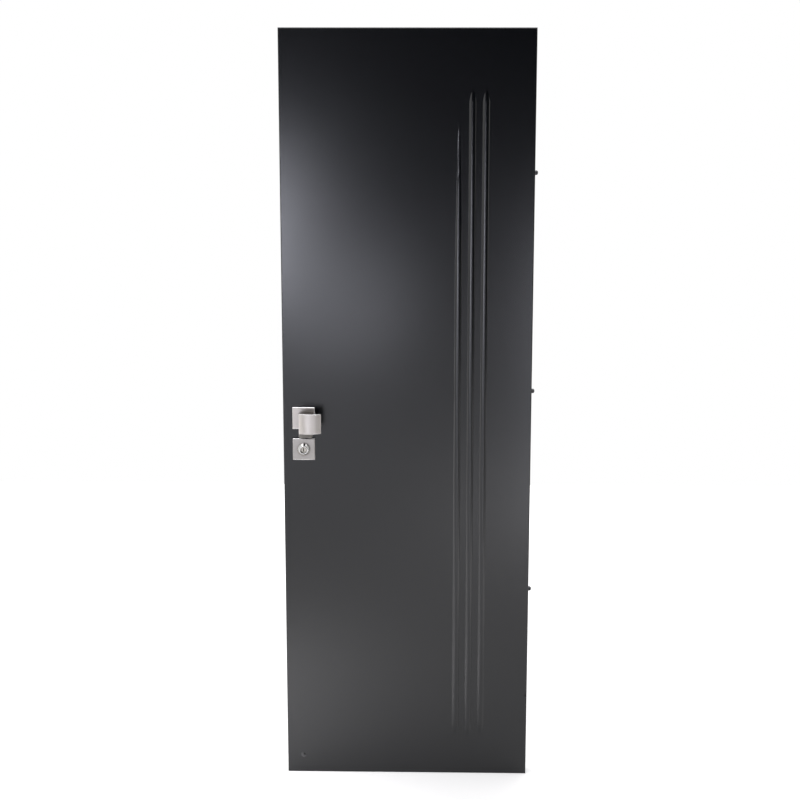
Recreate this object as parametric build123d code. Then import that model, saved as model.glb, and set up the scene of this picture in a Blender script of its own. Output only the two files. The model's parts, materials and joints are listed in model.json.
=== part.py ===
from build123d import *
import os

os.makedirs("parts", exist_ok=True)

# A flush steel security door leaf: two folded steel skins on an edge profile, three pressed
# ribs near the hinge edge, a cranked pull knob and a guarded key cylinder on square rosettes.
# Millimetres. The front faces -Y and +Z is up. The origin is at the foot of the hinge edge,
# on its flat face and halfway through the leaf, so the leaf runs from x = 0 towards -X.

# Leaf and its skins
LEAF_WIDTH = 660.0
LEAF_HEIGHT = 2030.0
LEAF_THICK = 45.0
SKIN = 1.5
BEND_RADIUS = 1.0          # inside radius of a folded skin edge
RETURN_DEPTH = 11.0        # how far a skin folds round the leaf's edge
SEAM = 0.3                 # gap between a folded skin edge and the edge profile

# Edge profile: a channel with a raised land that fills the strip between the two skins
PROFILE_WALL = 3.0
PROFILE_DEPTH = 30.0

# Pressed ribs in the front skin
RIB_COUNT = 3
RIB_WIDTH = 18.0
RIB_RISE = 4.0
RIB_PITCH = 34.5
RIB_MIDDLE_FROM_HINGE = 162.0
RIB_BELOW_TOP = 150.0
RIB_ABOVE_FOOT = 108.0
RIB_TAPER = 34.0           # length over which a rib fades into the sheet
RIB_LONG_TAPER = 450.0     # the rib farthest from the hinge edge fades this slowly at its top
RIB_MIDDLE_EXTRA = 8.0     # the middle rib reaches this much lower

# Hinge edge: stud pins that lock into the jamb, and tapped plates for the hinges
PIN_BELOW_TOP = 368.0
PIN_MIDDLE_HEIGHT = 1084.0
PIN_LOWER_HEIGHT = 533.0
PIN_RADIUS = 6.0
PIN_STRAIGHT = 5.0
PIN_NOSE = 3.0
PIN_NOSE_RADIUS = 3.5
PIN_SHOULDER = 0.6         # the shank in the edge is this much larger all round
HINGE_FROM_ENDS = 240.0    # outer hinges to the leaf's top and foot
HINGE_BELOW_MIDDLE_PIN = 84.0
HINGE_SCREW_PITCH = 60.0
HINGE_SCREW_RADIUS = 4.25
HINGE_PLATE_WIDTH = 28.0
HINGE_PLATE_HEIGHT = 100.0
HINGE_PLATE_THICK = 6.0

# Lock
BACKSET = 55.0             # lock edge to the knob and cylinder axis
KNOB_HEIGHT = 1013.0
KNOB_TO_CYLINDER = 85.0
FACEPLATE_MARGIN = 1.2     # strip of land left on each side of the faceplate
FACEPLATE_HEIGHT = 240.0
FACEPLATE_THICK = 3.0
FACEPLATE_SET_BACK = 0.3   # leaves room for the heads of its screws
FACEPLATE_BELOW_KNOB = 55.0
CASE_THICK = 16.0
CASE_HEIGHT = 205.0
CASE_BEHIND_AXIS = 40.0
BOLT_RADIUS = 7.0
BOLT_LENGTH = 36.0
BOLT_PITCH = 26.0
BOLT_COUNT = 3
BOLT_TOP_ABOVE_CYLINDER = 22.0
BOLT_SET_BACK = 0.5        # a drawn-in bolt stops this far inside the edge
LATCH_THICK = 12.0
LATCH_HEIGHT = 28.0
LATCH_SLOPE = 8.0
LATCH_ABOVE_KNOB = 14.0

# Euro-profile key cylinder
CYLINDER_RADIUS = 8.5
CYLINDER_TALL = 33.0
CYLINDER_LEG = 10.0
CYLINDER_PROUD = 5.0       # the outer end stands this far out of the rosette
CYLINDER_INNER_PROUD = 3.0
PLUG_RADIUS = 6.5
PLUG_LENGTH = 28.0
PLUG_PROUD = 0.5
KEYWAY_WIDTH = 2.4
KEYWAY_HEIGHT = 8.5
KEYWAY_DEPTH = 24.0
GUARD_RADIUS = 17.5
GUARD_HEIGHT = 10.0
GUARD_WALL_HEIGHT = 2.0
GUARD_LIP = 2.6            # width of the flat rim round the opening

# Square rosettes
ROSETTE_SIDE = 60.0
ROSETTE_THICK = 9.0
ROSETTE_CORNER = 1.5
ROSETTE_BEVEL = 1.5

# Cranked pull knob: a flared neck that carries a curved grip plate to one side
NECK_FOOT_WIDTH = 36.0
NECK_FOOT_SHIFT = 5.0
NECK_HEAD_WIDTH = 38.0
NECK_HEAD_SHIFT = 10.5
NECK_ABOVE_AXIS = 16.0
NECK_BELOW_AXIS = 24.0
NECK_CHIN_DROP = 22.0      # the neck bulges this much lower between the rosette and the grip
NECK_CHIN_REACH = 30.0     # from the rosette to the lowest place of the bulge
NECK_CORNER = 3.0
GRIP_CHORD = 57.6          # across the bow, between the middles of its two ends
GRIP_HEIGHT = 54.0
GRIP_SAGITTA = 9.0
GRIP_THICK = 5.0
GRIP_SHIFT = 20.5
GRIP_DROP = 3.5            # the grip's middle is this much below the rosette's
GRIP_REACH = 68.0          # front of the grip to the leaf's face
GRIP_EDGE = 1.6

# Inside lever
LEVER_LENGTH = 122.0
LEVER_REACH = 56.0
LEVER_THICK = 11.0
LEVER_HEIGHT = 20.0
LEVER_BEND = 16.0
LEVER_EDGE = 3.0

# Clearances
FIT = 0.3                  # loose fit between fixed pieces
RUN = 0.08                 # running fit of the key plug
TOUCH = 0.1                # gap between curved faces that seat on each other
PAST = 2.0                 # how far a cutting tool runs past the face that it cuts

# Places worked out from the sizes
HALF = LEAF_THICK / 2
LAND_HALF = HALF - RETURN_DEPTH - SEAM
CHANNEL_HALF = HALF - SKIN
EDGE_DEPTH = SKIN + PROFILE_WALL
FOLD_ROOM = BEND_RADIUS + TOUCH    # what a piece inside leaves free for a skin's fold
STILE_FOOT = SKIN + FOLD_ROOM
STILE_LENGTH = LEAF_HEIGHT - 2 * STILE_FOOT
LOCK_X = BACKSET - LEAF_WIDTH
CYLINDER_HEIGHT = KNOB_HEIGHT - KNOB_TO_CYLINDER
FACEPLATE_Z = KNOB_HEIGHT - FACEPLATE_BELOW_KNOB
FACEPLATE_HALF = LAND_HALF - FACEPLATE_MARGIN
FRONT_SEAT = -HALF - ROSETTE_THICK
BACK_SEAT = HALF + ROSETTE_THICK
CYLINDER_FRONT = FRONT_SEAT - CYLINDER_PROUD
CYLINDER_BACK = BACK_SEAT + CYLINDER_INNER_PROUD
GUARD_OPENING = CYLINDER_RADIUS + FIT
GRIP_X = LOCK_X + GRIP_SHIFT
GRIP_Z = KNOB_HEIGHT - GRIP_DROP
GRIP_FRONT = GRIP_THICK / 2 - HALF - GRIP_REACH    # the bow's middle line where it is foremost
GRIP_RADIUS = ((GRIP_CHORD / 2) ** 2 + GRIP_SAGITTA**2) / (2 * GRIP_SAGITTA)
PIN_SHANK = PIN_RADIUS + PIN_SHOULDER
PIN_HEIGHTS = {
    "upper": LEAF_HEIGHT - PIN_BELOW_TOP,
    "middle": PIN_MIDDLE_HEIGHT,
    "lower": PIN_LOWER_HEIGHT,
}
HINGE_HEIGHTS = {
    "upper": LEAF_HEIGHT - HINGE_FROM_ENDS,
    "middle": PIN_MIDDLE_HEIGHT - HINGE_BELOW_MIDDLE_PIN,
    "lower": HINGE_FROM_ENDS,
}


def about(middle, size):
    """The low and high end of a span."""
    return (middle - size / 2, middle + size / 2)


def block(x, y, z):
    """A box between three pairs of low and high places."""
    spans = (x, y, z)
    middle = [(low + high) / 2 for low, high in spans]
    return Pos(*middle) * Box(*[high - low for low, high in spans])


def rod_x(radius, x, y, z):
    return Pos(sum(x) / 2, y, z) * Rot(0, 90, 0) * Cylinder(radius, x[1] - x[0])


def rod_y(radius, x, y, z):
    return Pos(x, sum(y) / 2, z) * Rot(90, 0, 0) * Cylinder(radius, y[1] - y[0])


def euro_profile(grow, y):
    """A round with a leg below it, the section of a key cylinder, along a span of y."""
    leg_half = CYLINDER_LEG / 2
    foot_z = CYLINDER_HEIGHT + CYLINDER_RADIUS - CYLINDER_TALL + leg_half
    leg = block(about(LOCK_X, CYLINDER_LEG + 2 * grow), y, (foot_z, CYLINDER_HEIGHT))
    foot = rod_y(leg_half + grow, LOCK_X, y, foot_z)
    return rod_y(CYLINDER_RADIUS + grow, LOCK_X, y, CYLINDER_HEIGHT) + leg + foot


def skin_tray():
    """A folded sheet: the face lies at the front and four returns point back."""
    y = (-HALF, -HALF + RETURN_DEPTH)
    outer = block((-LEAF_WIDTH, 0), y, (0, LEAF_HEIGHT))
    outer = fillet(outer.faces().sort_by(Axis.Y)[0].edges(), BEND_RADIUS + SKIN)
    inside_x = (SKIN - LEAF_WIDTH, -SKIN)
    inner = block(inside_x, (SKIN - HALF, y[1] + PAST), (SKIN, LEAF_HEIGHT - SKIN))
    inner = fillet(inner.faces().sort_by(Axis.Y)[0].edges(), BEND_RADIUS)
    cylinder_hole = euro_profile(2 * FIT, (-HALF - PAST, PAST - HALF + SKIN))
    return outer - inner - cylinder_hole


def rib_spindle(inset, x, low, high, upper_taper):
    """A long spindle whose front stands out of the face: a bead with faded ends."""
    bow = ((RIB_WIDTH / 2) ** 2 + RIB_RISE**2) / (2 * RIB_RISE)
    radius = bow - inset
    tip = bow - RIB_RISE - inset - SKIN / 2
    lower_end = [(0, low), (tip, low), (radius, low + RIB_TAPER)]
    upper_end = [(radius, high - upper_taper), (tip, high), (0, high)]
    half_section = Plane.XZ * make_face(Polyline(*lower_end, *upper_end, close=True))
    return Pos(x, bow - RIB_RISE - HALF, 0) * revolve(half_section, Axis.Z)


def front_skin():
    skin = skin_tray()
    for index in range(RIB_COUNT):
        from_middle = index - (RIB_COUNT - 1) / 2
        x = from_middle * RIB_PITCH - RIB_MIDDLE_FROM_HINGE
        low = RIB_ABOVE_FOOT - (RIB_MIDDLE_EXTRA if from_middle == 0 else 0)
        high = LEAF_HEIGHT - RIB_BELOW_TOP
        taper = RIB_LONG_TAPER if index == 0 else RIB_TAPER
        front_y = (-HALF - RIB_RISE - PAST, SKIN / 2 - HALF)
        before_face = block(about(x, 2 * RIB_WIDTH), front_y, (low, high))
        skin += rib_spindle(0, x, low, high, taper) & before_face
        skin -= rib_spindle(SKIN, x, low, high, taper)
    return skin


def edge_channel(length):
    """The edge profile of one side, lying along Z with its land at x = 0."""
    web = Pos(-SKIN - PROFILE_WALL / 2, 0) * Rectangle(PROFILE_WALL, 2 * CHANNEL_HALF)
    web = fillet(web.vertices().group_by(Axis.X)[-1], FOLD_ROOM)
    flange = Rectangle(PROFILE_DEPTH - FOLD_ROOM, PROFILE_WALL, align=(Align.MAX, Align.MAX))
    flange = Pos(-SKIN - FOLD_ROOM, CHANNEL_HALF) * flange
    section = web + flange + mirror(flange, Plane.XZ)
    return extrude(section, length)


def hinge_stile():
    stile = Pos(0, 0, STILE_FOOT) * edge_channel(STILE_LENGTH)
    stile += block((-SKIN, 0), (-LAND_HALF, LAND_HALF), (0, LEAF_HEIGHT))
    through = (-EDGE_DEPTH - PAST, PAST)
    for z in PIN_HEIGHTS.values():
        stile -= rod_x(PIN_SHANK + TOUCH, through, 0, z)
    for z in HINGE_HEIGHTS.values():
        for screw_z in about(z, HINGE_SCREW_PITCH):
            stile -= rod_x(HINGE_SCREW_RADIUS, through, 0, screw_z)
    return stile


def faceplate_outline(grow, x):
    """A round-ended strip on the lock edge, along a span of x."""
    half = FACEPLATE_HALF + grow
    straight = about(FACEPLATE_Z, FACEPLATE_HEIGHT - 2 * FACEPLATE_HALF)
    strip = block(x, (-half, half), straight)
    for z in straight:
        strip += rod_x(half, x, 0, z)
    return strip


def lock_stile():
    stile = Pos(-LEAF_WIDTH, 0, STILE_FOOT) * Rot(0, 0, 180) * edge_channel(STILE_LENGTH)
    land_x = (-LEAF_WIDTH, SKIN - LEAF_WIDTH)
    stile += block(land_x, (-LAND_HALF, LAND_HALF), (0, LEAF_HEIGHT))
    stile -= faceplate_outline(FIT, (-LEAF_WIDTH - PAST, FACEPLATE_THICK - LEAF_WIDTH))
    case_x = (-LEAF_WIDTH, EDGE_DEPTH + PAST - LEAF_WIDTH)
    case_room = about(FACEPLATE_Z, CASE_HEIGHT + 2 * FIT)
    return stile - block(case_x, about(0, CASE_THICK + 2 * FIT), case_room)


def bottom_rail():
    """Edge profile between the stiles, with its land run out to their lands."""
    length = LEAF_WIDTH - 2 * (SKIN + PROFILE_DEPTH)
    rail = Pos(-SKIN - PROFILE_DEPTH - length, 0, 0) * Rot(0, 90, 0) * edge_channel(length)
    return rail + block((SKIN - LEAF_WIDTH, -SKIN), (-LAND_HALF, LAND_HALF), (0, SKIN))


def hinge_pin(z):
    """A stud set in the stile, with a straight part and a tapered nose outside."""
    outline = Polyline(
        (-EDGE_DEPTH, 0),
        (-EDGE_DEPTH, PIN_SHANK),
        (0, PIN_SHANK),
        (0, PIN_RADIUS),
        (PIN_STRAIGHT, PIN_RADIUS),
        (PIN_STRAIGHT + PIN_NOSE, PIN_NOSE_RADIUS),
        (PIN_STRAIGHT + PIN_NOSE, 0),
        close=True,
    )
    return Pos(0, 0, z) * revolve(make_face(outline), Axis.X)


def hinge_plate(z):
    x = (-EDGE_DEPTH - HINGE_PLATE_THICK, -EDGE_DEPTH)
    plate = block(x, about(0, HINGE_PLATE_WIDTH), about(z, HINGE_PLATE_HEIGHT))
    for screw_z in about(z, HINGE_SCREW_PITCH):
        plate -= rod_x(HINGE_SCREW_RADIUS, (x[0] - PAST, x[1] + PAST), 0, screw_z)
    return plate


def bolt_height(index):
    return CYLINDER_HEIGHT + BOLT_TOP_ABOVE_CYLINDER - index * BOLT_PITCH


def latch(grow, x):
    z = about(KNOB_HEIGHT + LATCH_ABOVE_KNOB, LATCH_HEIGHT + 2 * grow)
    return block(x, about(0, LATCH_THICK + 2 * grow), z)


def latch_bolt():
    """A drawn-in latch: its nose is sloped towards the front of the leaf."""
    x = (BOLT_SET_BACK - LEAF_WIDTH, BOLT_SET_BACK - LEAF_WIDTH + BOLT_LENGTH)
    bolt = latch(0, x)
    nose = bolt.edges().filter_by(Axis.Z).group_by(Axis.X)[0].sort_by(Axis.Y)[0]
    return chamfer(nose, LATCH_SLOPE, LATCH_SLOPE)


def dead_bolt(index):
    x = (BOLT_SET_BACK - LEAF_WIDTH, BOLT_SET_BACK - LEAF_WIDTH + BOLT_LENGTH)
    return rod_x(BOLT_RADIUS, x, 0, bolt_height(index))


def bolt_ways(x):
    """The openings that the latch and the bolts slide in."""
    ways = latch(FIT, x)
    for index in range(BOLT_COUNT):
        ways += rod_x(BOLT_RADIUS + FIT, x, 0, bolt_height(index))
    return ways


def lock_faceplate():
    x = (FACEPLATE_SET_BACK - LEAF_WIDTH, FACEPLATE_THICK - LEAF_WIDTH)
    return faceplate_outline(0, x) - bolt_ways((x[0] - PAST, x[1] + PAST))


def lock_case():
    x = (FACEPLATE_THICK - LEAF_WIDTH, LOCK_X + CASE_BEHIND_AXIS)
    case = block(x, about(0, CASE_THICK), about(FACEPLATE_Z, CASE_HEIGHT))
    case -= bolt_ways((x[0] - PAST, BOLT_SET_BACK - LEAF_WIDTH + BOLT_LENGTH + FIT))
    return case - euro_profile(FIT, about(0, CASE_THICK + 2 * PAST))


def rosette(z):
    """A square cover plate on the front of the leaf."""
    plate = block(about(LOCK_X, ROSETTE_SIDE), (FRONT_SEAT, -HALF), about(z, ROSETTE_SIDE))
    plate = chamfer(plate.edges().filter_by(Axis.Y), ROSETTE_CORNER)
    return chamfer(plate.faces().sort_by(Axis.Y)[0].edges(), ROSETTE_BEVEL)


def cylinder_rosette():
    """The front rosette shows only the round of the key cylinder."""
    through = (FRONT_SEAT - PAST, PAST - HALF)
    return rosette(CYLINDER_HEIGHT) - rod_y(GUARD_OPENING, LOCK_X, through, CYLINDER_HEIGHT)


def inner_cylinder_rosette():
    """The inside rosette is cut out for the whole profile of the key cylinder."""
    through = (FRONT_SEAT - PAST, PAST - HALF)
    return to_back(rosette(CYLINDER_HEIGHT) - euro_profile(FIT, through))


def cylinder_guard():
    """A cone-shaped collar on the rosette, round the end of the key cylinder."""
    rim = GUARD_OPENING + GUARD_LIP
    outline = Polyline(
        (GUARD_OPENING, 0),
        (GUARD_RADIUS, 0),
        (GUARD_RADIUS, GUARD_WALL_HEIGHT),
        (rim, GUARD_HEIGHT),
        (GUARD_OPENING, GUARD_HEIGHT),
        close=True,
    )
    guard = Rot(0, 0, 180) * revolve(make_face(outline), Axis.Y)
    return Pos(LOCK_X, FRONT_SEAT, CYLINDER_HEIGHT) * guard


def cylinder_body():
    body = euro_profile(0, (-HALF, CYLINDER_BACK))
    body += rod_y(CYLINDER_RADIUS, LOCK_X, (CYLINDER_FRONT, -HALF), CYLINDER_HEIGHT)
    front_bore = (CYLINDER_FRONT - PAST, CYLINDER_FRONT + PLUG_LENGTH)
    back_bore = (CYLINDER_BACK - PLUG_LENGTH, CYLINDER_BACK + PAST)
    for bore in (front_bore, back_bore):
        body -= rod_y(PLUG_RADIUS + RUN, LOCK_X, bore, CYLINDER_HEIGHT)
    return body


def plug(end_y):
    """The round barrel that a key goes into, at a front end of the cylinder."""
    y = (end_y - PLUG_PROUD, end_y + PLUG_LENGTH - RUN)
    barrel = rod_y(PLUG_RADIUS, LOCK_X, y, CYLINDER_HEIGHT)
    barrel = chamfer(barrel.edges().sort_by(Axis.Y)[0], PLUG_PROUD)
    keyway_y = (y[0] - PAST, y[0] + KEYWAY_DEPTH)
    return barrel - block(about(LOCK_X, KEYWAY_WIDTH), keyway_y, about(CYLINDER_HEIGHT, KEYWAY_HEIGHT))


def neck_plan():
    """The neck seen from above: it widens a little and leans towards the hinge edge."""
    foot_x = about(LOCK_X + NECK_FOOT_SHIFT, NECK_FOOT_WIDTH)
    head_x = about(LOCK_X + NECK_HEAD_SHIFT, NECK_HEAD_WIDTH)
    foot = [(x, FRONT_SEAT) for x in foot_x]
    head = [(x, GRIP_FRONT) for x in reversed(head_x)]
    return make_face(Polyline(*foot, *head, close=True))


def neck_side():
    """The neck seen from the side, with the first number upwards: its underside has a chin."""
    top = KNOB_HEIGHT + NECK_ABOVE_AXIS
    bottom = KNOB_HEIGHT - NECK_BELOW_AXIS
    chin = (bottom - NECK_CHIN_DROP, FRONT_SEAT - NECK_CHIN_REACH)
    upper = [(top, GRIP_FRONT), (top, FRONT_SEAT)]
    return make_face(Polyline(*upper, (bottom, FRONT_SEAT), chin, (bottom, GRIP_FRONT), close=True))


def knob_neck():
    """A block between the rosette and the grip: its plan crossed with its side view."""
    plan = extrude(Pos(0, 0, KNOB_HEIGHT) * neck_plan(), GRIP_HEIGHT, both=True)
    side_plane = Plane((LOCK_X, 0, 0), x_dir=(0, 0, 1), z_dir=(-1, 0, 0))
    neck = plan & extrude(side_plane * neck_side(), ROSETTE_SIDE, both=True)
    corners = [edge for edge in neck.edges() if abs((edge @ 1 - edge @ 0).Y) > NECK_CORNER]
    inside_grip = Cylinder(GRIP_RADIUS - GRIP_THICK / 2 - TOUCH, 2 * GRIP_HEIGHT)
    return fillet(corners, NECK_CORNER) & Pos(GRIP_X, GRIP_FRONT + GRIP_RADIUS, GRIP_Z) * inside_grip


def knob_grip():
    """The plate that the fingers hold, bowed to the front, with its edges taken off."""
    ends_y = GRIP_FRONT + GRIP_SAGITTA
    left_x, right_x = about(GRIP_X, GRIP_CHORD)
    bow = ThreePointArc((left_x, ends_y), (GRIP_X, GRIP_FRONT), (right_x, ends_y))
    plate = extrude(Pos(0, 0, GRIP_Z) * trace(bow, GRIP_THICK), GRIP_HEIGHT / 2, both=True)
    plate = chamfer(plate.edges().filter_by(Axis.Z), GRIP_EDGE)
    return chamfer(plate.faces().filter_by(Axis.Z).edges(), GRIP_EDGE)


def inner_lever():
    """A rounded bar that comes out of the inside rosette and turns towards the hinge edge."""
    reach = HALF + LEVER_REACH
    corner = (LOCK_X, reach, KNOB_HEIGHT)
    end = (LOCK_X + LEVER_LENGTH, reach, KNOB_HEIGHT)
    path = FilletPolyline((LOCK_X, BACK_SEAT, KNOB_HEIGHT), corner, end, radius=LEVER_BEND)
    start = Plane((LOCK_X, BACK_SEAT, KNOB_HEIGHT), x_dir=(1, 0, 0), z_dir=(0, 1, 0))
    section = Rectangle(LEVER_THICK, LEVER_HEIGHT)
    section = chamfer(section.vertices(), LEVER_EDGE)
    return sweep(start * section, path=path)


def to_back(piece):
    """The same piece on the other face of the leaf."""
    return mirror(piece, Plane.XZ)


rail = bottom_rail()
nodes = {
    "front_skin": front_skin(),
    "back_skin": to_back(skin_tray()),
    "hinge_stile": hinge_stile(),
    "lock_stile": lock_stile(),
    "bottom_rail": rail,
    "top_rail": Pos(0, 0, LEAF_HEIGHT) * mirror(rail, Plane.XY),
    "lock_faceplate": lock_faceplate(),
    "lock_case": lock_case(),
    "latch_bolt": latch_bolt(),
    "knob_rosette": rosette(KNOB_HEIGHT),
    "knob_neck": knob_neck(),
    "knob_grip": knob_grip(),
    "cylinder_rosette": cylinder_rosette(),
    "cylinder_guard": cylinder_guard(),
    "cylinder_body": cylinder_body(),
    "key_plug": plug(CYLINDER_FRONT),
    "inner_lever_rosette": to_back(rosette(KNOB_HEIGHT)),
    "inner_lever": inner_lever(),
    "inner_cylinder_rosette": inner_cylinder_rosette(),
    "inner_plug": to_back(plug(-CYLINDER_BACK)),
}
for index in range(BOLT_COUNT):
    nodes[f"dead_bolt_{index + 1}"] = dead_bolt(index)
for place, z in PIN_HEIGHTS.items():
    nodes[f"hinge_pin_{place}"] = hinge_pin(z)
for place, z in HINGE_HEIGHTS.items():
    nodes[f"hinge_plate_{place}"] = hinge_plate(z)

for name, piece in nodes.items():
    export_step(piece, f"parts/{name}.step")
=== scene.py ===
# %% [markdown]
# # A steel security door leaf
#
# This lesson dresses a flush steel door leaf: two folded steel skins with three pressed ribs, a
# cranked pull knob, a guarded key cylinder on square rosettes and stud pins on the hinge edge.
# The solids come from a CAD frame at their real size, in metres, and they are never moved here.
# They get their finishes, the small fasteners that a drawing leaves out, and a soft studio.

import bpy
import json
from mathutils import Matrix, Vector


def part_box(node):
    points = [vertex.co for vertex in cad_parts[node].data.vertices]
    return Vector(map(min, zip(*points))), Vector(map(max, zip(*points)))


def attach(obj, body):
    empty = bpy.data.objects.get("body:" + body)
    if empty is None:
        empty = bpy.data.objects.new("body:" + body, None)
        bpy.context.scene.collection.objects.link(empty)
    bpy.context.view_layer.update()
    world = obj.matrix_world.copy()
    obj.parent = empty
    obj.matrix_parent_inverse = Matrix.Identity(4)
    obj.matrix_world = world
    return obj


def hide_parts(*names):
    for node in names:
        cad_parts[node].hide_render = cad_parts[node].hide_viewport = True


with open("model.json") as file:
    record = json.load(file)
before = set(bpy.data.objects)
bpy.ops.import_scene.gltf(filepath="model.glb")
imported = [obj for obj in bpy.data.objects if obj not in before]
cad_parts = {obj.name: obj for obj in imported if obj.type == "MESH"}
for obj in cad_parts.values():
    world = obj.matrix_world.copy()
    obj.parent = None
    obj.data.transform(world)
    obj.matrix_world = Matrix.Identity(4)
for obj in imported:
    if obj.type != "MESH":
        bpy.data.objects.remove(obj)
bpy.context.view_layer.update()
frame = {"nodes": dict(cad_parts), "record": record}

# %% Other tools
import json
import math

import bmesh
import bpy
from mathutils import Matrix, Vector

MM = 0.001
nodes = frame["nodes"]
scene = bpy.context.scene


def show(name, data):
    """Makes an object from a mesh, a lamp or a camera and puts it in the scene."""
    made = bpy.data.objects.new(name, data)
    scene.collection.objects.link(made)
    return made


# %% [markdown]
# ## Places on the leaf
#
# Every piece below is placed by the boxes of the CAD nodes, so nothing has to be fitted by eye.
# The front of the leaf looks along -Y, its hinge edge lies at x = 0, and its foot at z = 0.

# %% Measure the leaf
edge_low, edge_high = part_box("lock_stile")
face_y = -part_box("back_skin")[1].y
leaf_width = -edge_low.x
leaf_height = edge_high.z
rosette_low, rosette_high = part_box("knob_rosette")
knob_axis = (rosette_low + rosette_high) / 2
guard_low, guard_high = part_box("cylinder_guard")
cylinder_axis = (guard_low + guard_high) / 2
print("leaf", round(leaf_width, 3), "by", round(leaf_height, 3), "face at y", round(face_y, 4))

# %% [markdown]
# ## The camera
#
# The four corners of the leaf in the picture fix the camera: it stands 4.6 m away, a little above
# the leaf's top, tipped down by 12.6 degrees and turned slightly to the left. The lens is a long
# one, which keeps the tapering of the leaf small.

# %% Camera
CAMERA_PLACE = (-0.2387, -4.6071, 2.0875)
CAMERA_TIP = math.radians(-12.601)
CAMERA_TURN = math.radians(1.373)
CAMERA_LENS = 79.68
SENSOR_WIDTH = 36.0

camera_data = bpy.data.cameras.new("studio_camera")
camera_data.lens = CAMERA_LENS
camera_data.sensor_width = SENSOR_WIDTH
camera = show("studio_camera", camera_data)
camera.location = CAMERA_PLACE
camera.rotation_euler = (math.pi / 2 + CAMERA_TIP, 0, CAMERA_TURN)
scene.camera = camera
print("camera lens", CAMERA_LENS, "mm")

# %% [markdown]
# ## Small helpers for node trees
#
# A node tree is built in the same three moves each time: add a node, set what is fixed, link what
# varies. One helper does all three, so the finishes below read like a recipe. The others are the
# few nodes that come back most, each wrapped so that it gives back the socket that is wanted.

# %% Node helpers
def set_inputs(tree, node, inputs):
    """Links each input that is given a socket, and sets each one that is given a value."""
    for key, value in inputs.items():
        if isinstance(value, bpy.types.NodeSocket):
            tree.links.new(value, node.inputs[key])
        else:
            node.inputs[key].default_value = value


def add(tree, kind, inputs=None, **settings):
    """Adds a node with its settings and its inputs."""
    made = tree.nodes.new(kind)
    for key, value in settings.items():
        setattr(made, key, value)
    set_inputs(tree, made, inputs or {})
    return made


def maths(tree, operation, first, second=0.0, clamp=False):
    made = add(tree, "ShaderNodeMath", {0: first, 1: second}, operation=operation, use_clamp=clamp)
    return made.outputs[0]


def measure(tree, operation, first, *second):
    """A number worked out from one vector or two, such as a length or a distance."""
    inputs = dict(enumerate((first, *second)))
    return add(tree, "ShaderNodeVectorMath", inputs, operation=operation).outputs["Value"]


def mix_colour(tree, share, first, second):
    """Blends two colours: sockets 6 and 7 of the Mix node are its colour inputs."""
    made = add(tree, "ShaderNodeMix", {0: share, 6: first, 7: second}, data_type="RGBA")
    return made.outputs[2]


def ramp(tree, value, start, end, low=0.0, high=1.0):
    """Goes from low to high while the value goes from start to end, and holds still beyond."""
    limits = {"Value": value, "From Min": start, "From Max": end, "To Min": low, "To Max": high}
    return add(tree, "ShaderNodeMapRange", limits).outputs[0]


def spread(tree, value, low, high):
    """Turns a value from 0 to 1 into one from low to high."""
    return ramp(tree, value, 0.0, 1.0, low, high)


def noise(tree, where, density, detail):
    inputs = {"Vector": where, "Scale": density, "Detail": detail}
    return add(tree, "ShaderNodeTexNoise", inputs).outputs[0]


print("node helpers ready")

# %% [markdown]
# ## Node groups
#
# Several finishes share one effect, such as worn edges. The nodes could be repeated in each
# material, but a node group keeps them in one place, and a change there reaches every finish.

# %% Group helpers
def start_group(name, inputs, outputs):
    """Starts a group. An input with no number is a vector, and so is an output named Normal."""
    tree = bpy.data.node_groups.new(name, "ShaderNodeTree")
    for label, number in inputs.items():
        kind = "NodeSocketVector" if number is None else "NodeSocketFloat"
        socket = tree.interface.new_socket(label, in_out="INPUT", socket_type=kind)
        if number is not None:
            socket.default_value = number
    for label in outputs:
        kind = "NodeSocketVector" if label.endswith("Normal") else "NodeSocketFloat"
        tree.interface.new_socket(label, in_out="OUTPUT", socket_type=kind)
    return tree, tree.nodes.new("NodeGroupInput").outputs, tree.nodes.new("NodeGroupOutput")


def place_group(tree, group, inputs):
    """Puts a group into a material and returns its outputs."""
    return add(tree, "ShaderNodeGroup", inputs, node_tree=group).outputs


print("group helpers ready")

# %% [markdown]
# ## The backdrop
#
# The leaf was photographed on white. Lamps strong enough to make a real backdrop white would also
# wash out the dark paint, so the world does it: it is white to rays that look straight at it,
# nearly white in a mirror, and less than half as strong as a light.

# %% World
WHITE = (1.0, 1.0, 1.0, 1.0)
AMBIENT = 0.45
BACKDROP_MIRRORED = 0.8


def seen_rays(tree, in_mirror):
    """One for rays that look straight at a surface, and in_mirror for those that mirror it."""
    path = add(tree, "ShaderNodeLightPath").outputs
    mirrored = maths(tree, "MULTIPLY", path["Is Glossy Ray"], in_mirror)
    return maths(tree, "MAXIMUM", path["Is Camera Ray"], mirrored)


def blend_shaders(tree, share, first, second):
    inputs = {0: share, 1: first.outputs[0], 2: second.outputs[0]}
    return add(tree, "ShaderNodeMixShader", inputs).outputs[0]


world = bpy.data.worlds.new("white_studio")
world.use_nodes = True
sky = world.node_tree
sky.nodes.clear()
ambient = add(sky, "ShaderNodeBackground", {"Color": WHITE, "Strength": AMBIENT})
backdrop = add(sky, "ShaderNodeBackground", {"Color": WHITE, "Strength": 1.0})
chosen = blend_shaders(sky, seen_rays(sky, BACKDROP_MIRRORED), ambient, backdrop)
add(sky, "ShaderNodeOutputWorld", {"Surface": chosen})
scene.world = world
scene.view_settings.view_transform = "Standard"
print("world", world.name)

# %% [markdown]
# ## The floor
#
# A pale matte floor carries the leaf's shadow. It glows a little for the camera, and more with
# distance, so that it melts into the backdrop instead of ending in a line. The leaf mirrors hardly
# any of that glow: what brightens its lower half is the light that falls on the floor.

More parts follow.
